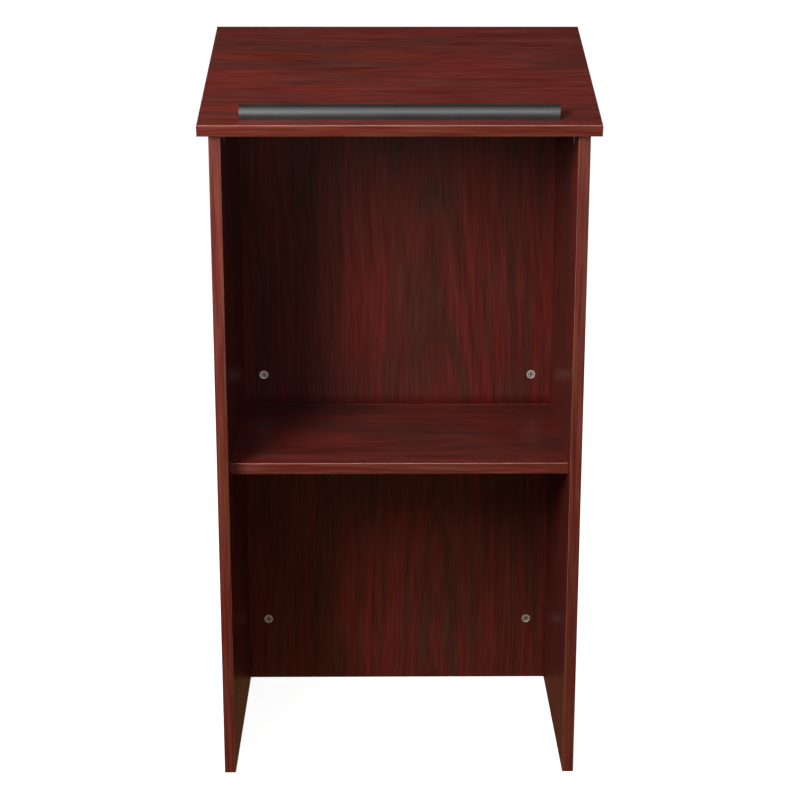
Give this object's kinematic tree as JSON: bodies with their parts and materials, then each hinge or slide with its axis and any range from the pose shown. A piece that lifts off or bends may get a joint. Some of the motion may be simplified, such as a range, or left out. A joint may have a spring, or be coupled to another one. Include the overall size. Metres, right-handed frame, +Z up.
{
  "type": "presentation lectern",
  "caption": "Floor-standing flat-pack lectern: sloping top with a half-round paper stop, side panels, front panel and a shelf, joined by cam locks and dowels.",
  "frame": {"origin": "on the floor, under the middle of the overall box", "axes": "+Z up; the presenter stands on the -Y side and the front panel faces the audience on the +Y side; +X is the presenter's right"},
  "size_m": [0.6, 0.3994, 1.1677],
  "materials": {
    "mahogany_laminate": "semi-gloss printed wood-grain melamine on particle board",
    "mahogany_edging": "satin wood-grain edge banding with rounded arrises",
    "charcoal_moulding": "satin",
    "zinc_cam": "as-cast bright zinc",
    "plated_steel": "zinc plated",
    "beech_dowel": "plain, fluted beech"
  },
  "bodies": {
    "carcass": {"top_panel": "mahogany_laminate", "top_front_band": "mahogany_edging", "top_rear_band": "mahogany_edging", "top_left_band": "mahogany_edging", "top_right_band": "mahogany_edging", "paper_stop": "charcoal_moulding", "paper_stop_screws": "plated_steel", "left_side_panel": "mahogany_laminate", "left_side_front_band": "mahogany_edging", "left_side_rear_band": "mahogany_edging", "right_side_panel": "mahogany_laminate", "right_side_front_band": "mahogany_edging", "right_side_rear_band": "mahogany_edging", "front_panel": "mahogany_laminate", "shelf_panel": "mahogany_laminate", "shelf_front_band": "mahogany_edging", "panel_bolts": "plated_steel", "top_bolts": "plated_steel", "shelf_bolts": "plated_steel", "panel_dowels": "beech_dowel", "top_dowels": "beech_dowel", "shelf_dowels": "beech_dowel"},
    "panel_cam_left_low": {"panel_cam_left_low": "zinc_cam"},
    "panel_cam_left_mid": {"panel_cam_left_mid": "zinc_cam"},
    "panel_cam_left_high": {"panel_cam_left_high": "zinc_cam"},
    "panel_cam_right_low": {"panel_cam_right_low": "zinc_cam"},
    "panel_cam_right_mid": {"panel_cam_right_mid": "zinc_cam"},
    "panel_cam_right_high": {"panel_cam_right_high": "zinc_cam"},
    "top_cam_left_front": {"top_cam_left_front": "zinc_cam"},
    "top_cam_left_rear": {"top_cam_left_rear": "zinc_cam"},
    "top_cam_right_front": {"top_cam_right_front": "zinc_cam"},
    "top_cam_right_rear": {"top_cam_right_rear": "zinc_cam"},
    "shelf_cam_left_front": {"shelf_cam_left_front": "zinc_cam"},
    "shelf_cam_left_rear": {"shelf_cam_left_rear": "zinc_cam"},
    "shelf_cam_right_front": {"shelf_cam_right_front": "zinc_cam"},
    "shelf_cam_right_rear": {"shelf_cam_right_rear": "zinc_cam"}
  },
  "joints": [
    {"name": "panel_cam_left_low_turn", "type": "hinge", "parent": "carcass", "child": "panel_cam_left_low", "pos_m": [-0.232, 0.17719, 0.114], "axis": [0, -1, 0], "range_deg": [0, 200]},
    {"name": "panel_cam_left_mid_turn", "type": "hinge", "parent": "carcass", "child": "panel_cam_left_mid", "pos_m": [-0.232, 0.17719, 0.5715], "axis": [0, -1, 0], "range_deg": [0, 200]},
    {"name": "panel_cam_left_high_turn", "type": "hinge", "parent": "carcass", "child": "panel_cam_left_high", "pos_m": [-0.232, 0.17719, 1.029], "axis": [0, -1, 0], "range_deg": [0, 200]},
    {"name": "panel_cam_right_low_turn", "type": "hinge", "parent": "carcass", "child": "panel_cam_right_low", "pos_m": [0.232, 0.17719, 0.114], "axis": [0, -1, 0], "range_deg": [0, 200]},
    {"name": "panel_cam_right_mid_turn", "type": "hinge", "parent": "carcass", "child": "panel_cam_right_mid", "pos_m": [0.232, 0.17719, 0.5715], "axis": [0, -1, 0], "range_deg": [0, 200]},
    {"name": "panel_cam_right_high_turn", "type": "hinge", "parent": "carcass", "child": "panel_cam_right_high", "pos_m": [0.232, 0.17719, 1.029], "axis": [0, -1, 0], "range_deg": [0, 200]},
    {"name": "top_cam_left_front_turn", "type": "hinge", "parent": "carcass", "child": "top_cam_left_front", "pos_m": [-0.266, -0.11672, 1.02754], "axis": [1, 0, 0], "range_deg": [0, 200]},
    {"name": "top_cam_left_rear_turn", "type": "hinge", "parent": "carcass", "child": "top_cam_left_rear", "pos_m": [-0.266, 0.12997, 1.09595], "axis": [1, 0, 0], "range_deg": [0, 200]},
    {"name": "top_cam_right_front_turn", "type": "hinge", "parent": "carcass", "child": "top_cam_right_front", "pos_m": [0.266, -0.11672, 1.02754], "axis": [-1, 0, 0], "range_deg": [0, 200]},
    {"name": "top_cam_right_rear_turn", "type": "hinge", "parent": "carcass", "child": "top_cam_right_rear", "pos_m": [0.266, 0.12997, 1.09595], "axis": [-1, 0, 0], "range_deg": [0, 200]},
    {"name": "shelf_cam_left_front_turn", "type": "hinge", "parent": "carcass", "child": "shelf_cam_left_front", "pos_m": [-0.232, -0.098, 0.5], "axis": [0, 0, -1], "range_deg": [0, 200]},
    {"name": "shelf_cam_left_rear_turn", "type": "hinge", "parent": "carcass", "child": "shelf_cam_left_rear", "pos_m": [-0.232, 0.12719, 0.5], "axis": [0, 0, -1], "range_deg": [0, 200]},
    {"name": "shelf_cam_right_front_turn", "type": "hinge", "parent": "carcass", "child": "shelf_cam_right_front", "pos_m": [0.232, -0.098, 0.5], "axis": [0, 0, -1], "range_deg": [0, 200]},
    {"name": "shelf_cam_right_rear_turn", "type": "hinge", "parent": "carcass", "child": "shelf_cam_right_rear", "pos_m": [0.232, 0.12719, 0.5], "axis": [0, 0, -1], "range_deg": [0, 200]}
  ]
}
